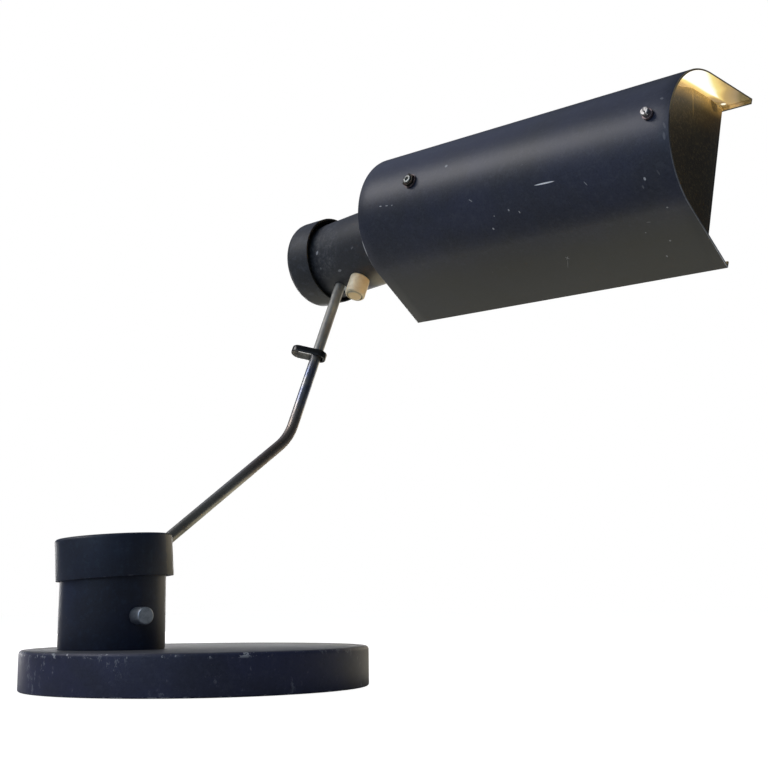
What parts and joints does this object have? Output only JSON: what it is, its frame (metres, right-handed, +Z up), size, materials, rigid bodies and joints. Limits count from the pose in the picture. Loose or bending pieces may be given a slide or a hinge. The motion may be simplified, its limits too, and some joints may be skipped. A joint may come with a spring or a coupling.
{
  "type": "architect desk lamp",
  "caption": "Architect desk lamp with a round weighted base, swivelling post, bent rod arm, tubular lampholder that rolls about its axis and a long trough shade with an end baffle.",
  "frame": {"origin": "centre of the base's resting face", "axes": "+Z up; the post stands off centre towards -X; the arm leans towards +X, the shade points towards -Y"},
  "size_m": [0.3803, 0.3289, 0.3456],
  "materials": {
    "base_paint": "satin near-black blue paint over cast iron, chipped at the rim",
    "dark_paint": "satin near-black blue paint, worn bright at the edges",
    "shade_paint": "satin dark navy paint outside with scratches, off-white inside",
    "polished_steel": "polished steel rod, lightly tarnished",
    "steel": "dull zinc-plated steel",
    "aluminium": "dull turned aluminium",
    "brass": "dull brass",
    "felt": "dark felt",
    "nylon": "natural nylon",
    "ivory": "aged ivory plastic with brown dirt in the seam",
    "bakelite": "dark brown bakelite",
    "clip_plastic": "glossy black",
    "glass": "frosted bulb glass",
    "baffle_sheet": "dark brown-olive painted sheet"
  },
  "bodies": {
    "base": {"base_pad": "felt", "base_disc": "base_paint", "post": "dark_paint", "post_screw_1": "steel", "post_screw_2": "steel", "post_screw_3": "steel", "thrust_washer": "nylon"},
    "arm": {"swivel_hub": "aluminium", "arm_set_screw": "steel", "base_cap": "dark_paint", "cap_screw": "steel", "bent_rod": "polished_steel", "pivot_block": "aluminium", "block_set_screw": "steel", "spindle": "brass", "roll_washer": "steel", "roll_nut": "steel", "head_cap": "dark_paint", "head_cap_screw": "steel", "lampholder": "bakelite", "screw_shell": "brass", "centre_contact": "brass", "bulb_cap": "brass", "bulb_glass": "glass"},
    "head": {"head_tube": "dark_paint", "tube_bulkhead": "steel", "switch_collar": "ivory", "switch_body": "bakelite", "shade": "shade_paint", "shade_strap": "steel", "strap_rivet_1": "steel", "strap_rivet_2": "steel", "rear_bolt": "steel", "rear_washer": "steel", "rear_nut": "steel", "front_screw": "steel", "front_washer": "steel", "front_nut": "steel", "end_baffle": "baffle_sheet"},
    "knob": {"clamp_knob": "aluminium"},
    "switch": {"switch_button": "ivory"},
    "clip": {"cable_clip": "clip_plastic"}
  },
  "joints": [
    {"name": "base_swivel", "type": "hinge", "parent": "base", "child": "arm", "pos_m": [-0.05, 0, 0.06], "axis": [0, 0, 1], "range_deg": [-170, 170]},
    {"name": "head_roll", "type": "hinge", "parent": "arm", "child": "head", "pos_m": [0.13043, 0.07263, 0.29003], "axis": [0.3449, -0.937, 0.0548], "range_deg": [-90, 0]},
    {"name": "clamp_turn", "type": "hinge", "parent": "base", "child": "knob", "pos_m": [-0.05, 0, 0.0415], "axis": [0.225, -0.9744, 0], "range_deg": [-180, 180]},
    {"name": "switch_press", "type": "slide", "parent": "head", "child": "switch", "axis": [0.3803, 0.1929, 0.9045], "range_m": [0, 0.002], "stiffness_N_per_m": 300, "springref_m": -0.002},
    {"name": "clip_slide", "type": "slide", "parent": "arm", "child": "clip", "axis": [0.3803, 0.1929, 0.9045], "range_m": [-0.04, 0.035]}
  ]
}
